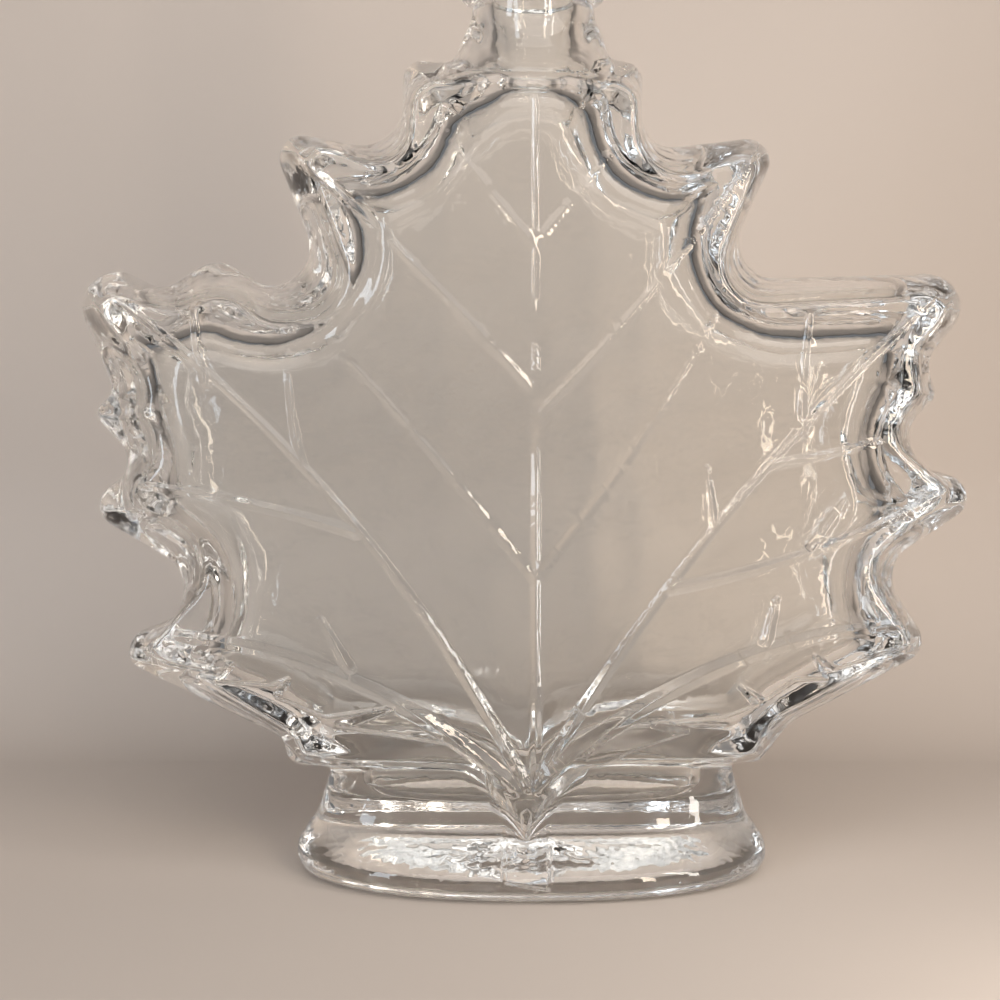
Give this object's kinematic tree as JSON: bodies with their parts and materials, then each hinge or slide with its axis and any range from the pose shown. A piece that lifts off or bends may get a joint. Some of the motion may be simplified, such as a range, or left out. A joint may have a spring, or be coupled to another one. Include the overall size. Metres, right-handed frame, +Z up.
{
  "type": "glass bottle",
  "caption": "Clear glass bottle shaped as a maple leaf with raised veins, a stem, an oval foot and a threaded neck, open and empty.",
  "frame": {"origin": "centre of the foot's flat underside, on the axis of the neck", "axes": "+Z up through the mouth, the leaf spreads along X, the front face with the stem's end looks along -Y"},
  "size_m": [0.145, 0.0452, 0.155],
  "materials": {
    "clear_glass": "clear, smooth, slightly rippled"
  },
  "bodies": {
    "root": {"bottle": "clear_glass"}
  },
  "joints": []
}
